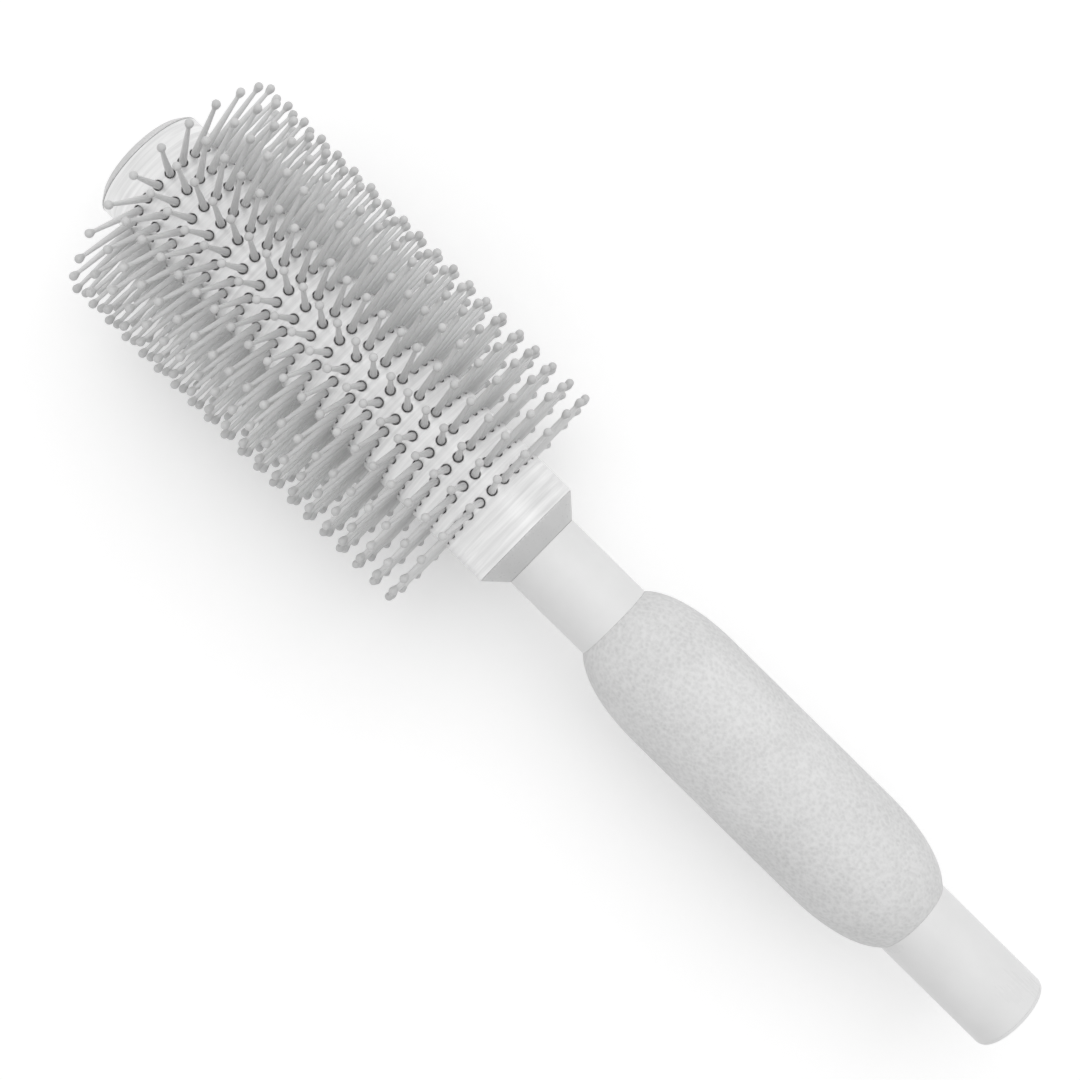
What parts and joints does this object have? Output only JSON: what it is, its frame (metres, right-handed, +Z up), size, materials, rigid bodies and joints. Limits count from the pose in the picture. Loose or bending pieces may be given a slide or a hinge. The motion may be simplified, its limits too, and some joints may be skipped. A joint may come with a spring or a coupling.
{
  "type": "round barrel brush",
  "caption": "Round hair brush with a thin metal barrel, columns of ball-tipped pins, a cone collar, a soft barrel-shaped grip and a plain round tail.",
  "frame": {"origin": "on the brush's axis, midway between the head's end face and the tail's end face, which is the centre of the bounding box", "axes": "+X along the brush's axis from the bristled head towards the tail of the handle, +Z up when the brush lies on its bristles"},
  "size_m": [0.24, 0.0564, 0.0564],
  "materials": {
    "barrel_metal": "satin",
    "bristle_nylon": "satin",
    "trim_plastic": "satin",
    "handle_plastic": "satin",
    "grip_rubber": "matte",
    "hub_plastic": "matte",
    "fastener_steel": "satin"
  },
  "bodies": {
    "root": {"barrel_tube": "barrel_metal", "bristle_strip_01": "bristle_nylon", "bristle_strip_02": "bristle_nylon", "bristle_strip_03": "bristle_nylon", "bristle_strip_04": "bristle_nylon", "bristle_strip_05": "bristle_nylon", "bristle_strip_06": "bristle_nylon", "bristle_strip_07": "bristle_nylon", "bristle_strip_08": "bristle_nylon", "bristle_strip_09": "bristle_nylon", "bristle_strip_10": "bristle_nylon", "bristle_strip_11": "bristle_nylon", "bristle_strip_12": "bristle_nylon", "bristle_strip_13": "bristle_nylon", "bristle_strip_14": "bristle_nylon", "bristle_strip_15": "bristle_nylon", "bristle_strip_16": "bristle_nylon", "bristle_strip_17": "bristle_nylon", "bristle_strip_18": "bristle_nylon", "bristle_strip_19": "bristle_nylon", "bristle_strip_20": "bristle_nylon", "bristle_strip_21": "bristle_nylon", "bristle_strip_22": "bristle_nylon", "bristle_strip_23": "bristle_nylon", "bristle_strip_24": "bristle_nylon", "clamp_plate": "fastener_steel", "collar": "trim_plastic", "core_hub": "hub_plastic", "end_cap": "trim_plastic", "grip_sleeve": "grip_rubber", "handle_tube": "handle_plastic", "hex_nut": "fastener_steel", "nut_washer": "fastener_steel", "tail_plug": "handle_plastic", "tie_bolt": "fastener_steel"}
  },
  "joints": []
}
